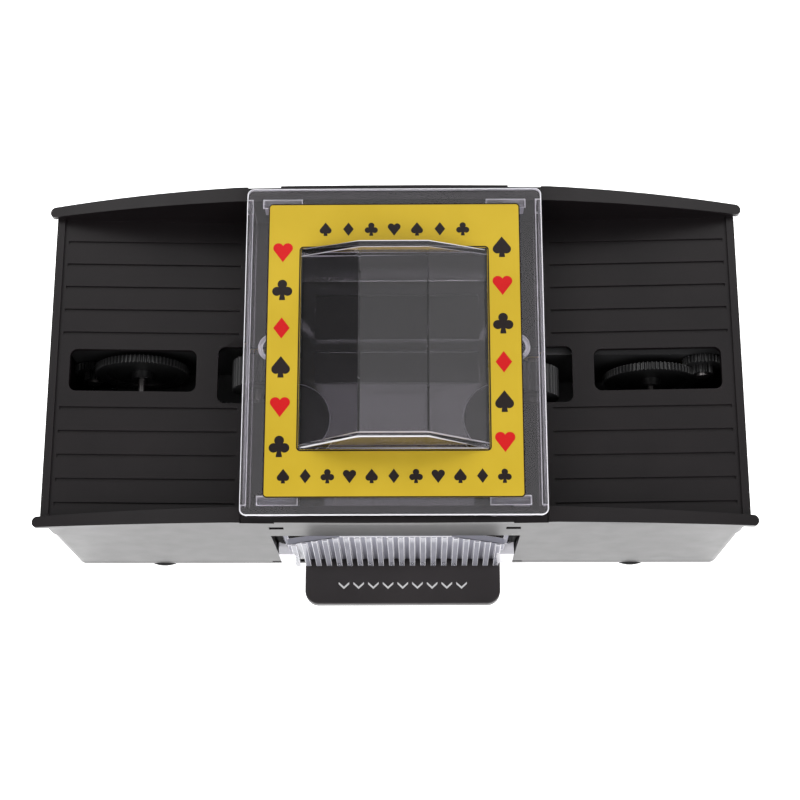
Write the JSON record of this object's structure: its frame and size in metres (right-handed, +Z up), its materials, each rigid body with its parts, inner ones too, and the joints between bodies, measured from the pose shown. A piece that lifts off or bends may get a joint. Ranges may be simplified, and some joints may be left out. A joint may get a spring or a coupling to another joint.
{
  "type": "card shuffler",
  "caption": "Battery driven card shuffler with sloped trays under a clear lift-off cover, rubber feed rollers with gear trains, a clear ribbed card drawer and a press lever",
  "frame": {"origin": "Centre of the bounding box's underside: the plane the feet stand on, midway along the length, and midway between the press lever's front edge and the rear flange.", "axes": "+X runs along the length to the right as seen from the drawer's side, +Y to the back, +Z up."},
  "size_m": [0.208, 0.1134, 0.0835],
  "materials": {
    "black_inner": "matt black moulded plastic",
    "black_shell": "glossy black moulded ABS",
    "cell_jacket": "plain printed cell jacket",
    "clear_plastic": "clear polystyrene, polished",
    "contact_steel": "nickel plated spring steel",
    "drawer_clear": "clear polystyrene, polished",
    "feet_rubber": "soft black rubber pad",
    "gear_nylon": "white nylon",
    "label_paper": null,
    "motor_cap": "white nylon end cap",
    "motor_steel": "nickel plated steel can",
    "pinion_brass": "brass",
    "screw_steel": "zinc plated steel",
    "shaft_steel": "ground steel",
    "switch_plastic": "black switch housing",
    "switch_red": "red switch plunger",
    "tyre_rubber": "ribbed black rubber"
  },
  "bodies": {
    "housing": {"upper_housing": "black_shell", "lower_housing": "black_shell", "base_plate": "black_shell", "rubber_feet": "feet_rubber", "housing_screws": "screw_steel", "lever_pin": "shaft_steel", "lever_spring": "contact_steel", "switch_body": "switch_plastic", "left_gear_frame": "black_inner", "left_shaft_bushes": "pinion_brass", "left_reduction_pin": "shaft_steel", "left_idler_pin": "shaft_steel", "left_motor_can": "motor_steel", "left_motor_cap": "motor_cap", "left_battery_contacts": "contact_steel", "left_battery_springs": "contact_steel", "left_battery_cells": "cell_jacket", "right_gear_frame": "black_inner", "right_shaft_bushes": "pinion_brass", "right_reduction_pin": "shaft_steel", "right_idler_pin": "shaft_steel", "right_motor_can": "motor_steel", "right_motor_cap": "motor_cap", "right_battery_contacts": "contact_steel", "right_battery_springs": "contact_steel", "right_battery_cells": "cell_jacket"},
    "cover": {"clear_cover": "clear_plastic", "cover_label": "label_paper"},
    "drawer": {"card_drawer": "drawer_clear"},
    "lever": {"press_lever": "black_shell"},
    "plunger": {"switch_plunger": "switch_red"},
    "left_drive": {"left_drive_gear": "gear_nylon", "left_feed_gear": "gear_nylon", "left_drive_shaft": "shaft_steel"},
    "left_reduction": {"left_reduction_gear": "gear_nylon"},
    "left_motor": {"left_motor_rotor": "shaft_steel", "left_motor_pinion": "pinion_brass"},
    "left_idler": {"left_idler_gear": "gear_nylon"},
    "left_roller": {"left_roller_shaft": "shaft_steel", "left_roller_gear": "gear_nylon", "left_roller_hub": "gear_nylon", "left_roller_tyre": "tyre_rubber"},
    "left_door": {"left_battery_door": "black_shell"},
    "right_drive": {"right_drive_gear": "gear_nylon", "right_feed_gear": "gear_nylon", "right_drive_shaft": "shaft_steel"},
    "right_reduction": {"right_reduction_gear": "gear_nylon"},
    "right_motor": {"right_motor_rotor": "shaft_steel", "right_motor_pinion": "pinion_brass"},
    "right_idler": {"right_idler_gear": "gear_nylon"},
    "right_roller": {"right_roller_shaft": "shaft_steel", "right_roller_gear": "gear_nylon", "right_roller_hub": "gear_nylon", "right_roller_tyre": "tyre_rubber"},
    "right_door": {"right_battery_door": "black_shell"}
  },
  "joints": [
    {"name": "cover_lift", "type": "slide", "parent": "housing", "child": "cover", "axis": [0, 0, 1], "range_m": [0, 0.03]},
    {"name": "drawer_slide", "type": "slide", "parent": "housing", "child": "drawer", "axis": [0, -1, 0], "range_m": [0, 0.07]},
    {"name": "lever_press", "type": "hinge", "parent": "housing", "child": "lever", "pos_m": [0, -0.00625, 0.0061], "axis": [1, 0, 0], "range_deg": [0, 2.2], "stiffness_Nm_per_rad": 2, "springref_deg": -1.72, "deforming": ["lever_spring"]},
    {"name": "plunger_travel", "type": "slide", "parent": "housing", "child": "plunger", "axis": [0, 0, -1], "range_m": [0, 0.0011]},
    {"name": "left_drive_spin", "type": "hinge", "parent": "housing", "child": "left_drive", "pos_m": [-0.0775, 0.00925, 0.04], "axis": [0, -1, 0], "continuous": true},
    {"name": "left_reduction_spin", "type": "hinge", "parent": "housing", "child": "left_reduction", "pos_m": [-0.09329, 0.00925, 0.03425], "axis": [0, -1, 0], "continuous": true},
    {"name": "left_motor_spin", "type": "hinge", "parent": "housing", "child": "left_motor", "pos_m": [-0.08716, 0.01165, 0.02911], "axis": [0, -1, 0], "continuous": true},
    {"name": "left_idler_spin", "type": "hinge", "parent": "housing", "child": "left_idler", "pos_m": [-0.0555, -0.00465, 0.03982], "axis": [0, -1, 0], "continuous": true},
    {"name": "left_roller_spin", "type": "hinge", "parent": "housing", "child": "left_roller", "pos_m": [-0.041, 0.00525, 0.0479], "axis": [0, -1, 0], "continuous": true},
    {"name": "left_door_slide", "type": "slide", "parent": "housing", "child": "left_door", "axis": [-1, 0, 0], "range_m": [0, 0.058]},
    {"name": "right_drive_spin", "type": "hinge", "parent": "housing", "child": "right_drive", "pos_m": [0.0775, 0.00645, 0.04], "axis": [0, -1, 0], "continuous": true},
    {"name": "right_reduction_spin", "type": "hinge", "parent": "housing", "child": "right_reduction", "pos_m": [0.09205, 0.00645, 0.0484], "axis": [0, -1, 0], "continuous": true},
    {"name": "right_motor_spin", "type": "hinge", "parent": "housing", "child": "right_motor", "pos_m": [0.08931, 0.00885, 0.04088], "axis": [0, -1, 0], "continuous": true},
    {"name": "right_idler_spin", "type": "hinge", "parent": "housing", "child": "right_idler", "pos_m": [0.0555, -0.00745, 0.03982], "axis": [0, -1, 0], "continuous": true},
    {"name": "right_roller_spin", "type": "hinge", "parent": "housing", "child": "right_roller", "pos_m": [0.041, 0.00245, 0.0479], "axis": [0, -1, 0], "continuous": true},
    {"name": "right_door_slide", "type": "slide", "parent": "housing", "child": "right_door", "axis": [1, 0, 0], "range_m": [0, 0.058]}
  ],
  "couplings": [
    {"joint": "plunger_travel", "follows": "lever_press", "m_per_rad": 0.0265},
    {"joint": "left_reduction_spin", "follows": "left_drive_spin", "ratio": -5},
    {"joint": "left_motor_spin", "follows": "left_drive_spin", "ratio": 11.667},
    {"joint": "left_idler_spin", "follows": "left_drive_spin", "ratio": -0.83333},
    {"joint": "left_roller_spin", "follows": "left_drive_spin", "ratio": 2.1739},
    {"joint": "right_reduction_spin", "follows": "right_drive_spin", "ratio": -5},
    {"joint": "right_motor_spin", "follows": "right_drive_spin", "ratio": 11.667},
    {"joint": "right_idler_spin", "follows": "right_drive_spin", "ratio": -0.83333},
    {"joint": "right_roller_spin", "follows": "right_drive_spin", "ratio": 2.1739}
  ]
}
